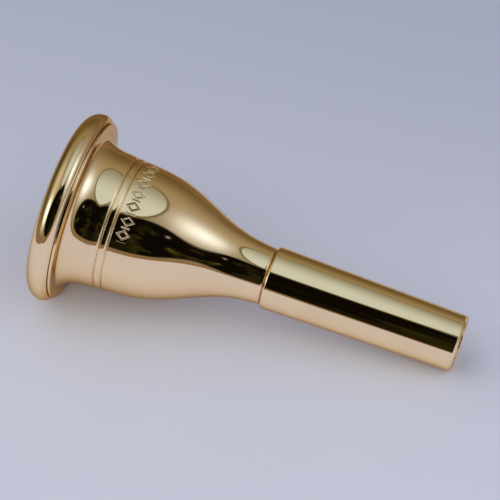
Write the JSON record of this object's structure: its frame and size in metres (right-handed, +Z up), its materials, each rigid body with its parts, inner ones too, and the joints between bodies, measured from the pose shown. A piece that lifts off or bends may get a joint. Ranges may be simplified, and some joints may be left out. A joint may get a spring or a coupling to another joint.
{
  "type": "brass mouthpiece",
  "caption": "Deep-cup low-brass mouthpiece that screws apart into rim, cup and shank, with a tapered shank that plugs into an instrument's receiver.",
  "frame": {"origin": "centre of the footprint of the mouthpiece lying on its side, on the surface that it lies on", "axes": "+X from the lip face towards the shank's tip, +Z up. The mouthpiece's own axis lies in the XZ plane, with the tip 9.64 degrees below +X"},
  "size_m": [0.0994, 0.0446, 0.044],
  "materials": {
    "gold_plate": "gold-plated brass, turned and mirror polished",
    "seal_rubber": "satin black nitrile"
  },
  "bodies": {
    "shank": {"shank": "gold_plate"},
    "shank_seal": {"shank_seal": "seal_rubber"},
    "cup": {"cup": "gold_plate"},
    "rim_seal": {"rim_seal": "seal_rubber"},
    "rim": {"rim": "gold_plate"}
  },
  "joints": [
    {"name": "cup_lift", "type": "slide", "parent": "shank", "child": "shank_seal", "axis": [-0.9859, 0, 0.1675], "range_m": [0, 0.005]},
    {"name": "cup_turn", "type": "hinge", "parent": "shank_seal", "child": "cup", "pos_m": [0.00378, 0, 0.01404], "axis": [-0.9859, 0, 0.1675], "range_deg": [0, 1441]},
    {"name": "rim_lift", "type": "slide", "parent": "cup", "child": "rim_seal", "axis": [-0.9859, 0, 0.1675], "range_m": [0, 0.00225]},
    {"name": "rim_turn", "type": "hinge", "parent": "rim_seal", "child": "rim", "pos_m": [-0.04108, 0, 0.02166], "axis": [-0.9859, 0, 0.1675], "range_deg": [0, 1081]}
  ],
  "couplings": [
    {"joint": "cup_turn", "follows": "cup_lift", "rad_per_m": 5026.5},
    {"joint": "rim_turn", "follows": "rim_lift", "rad_per_m": 8377.6}
  ]
}
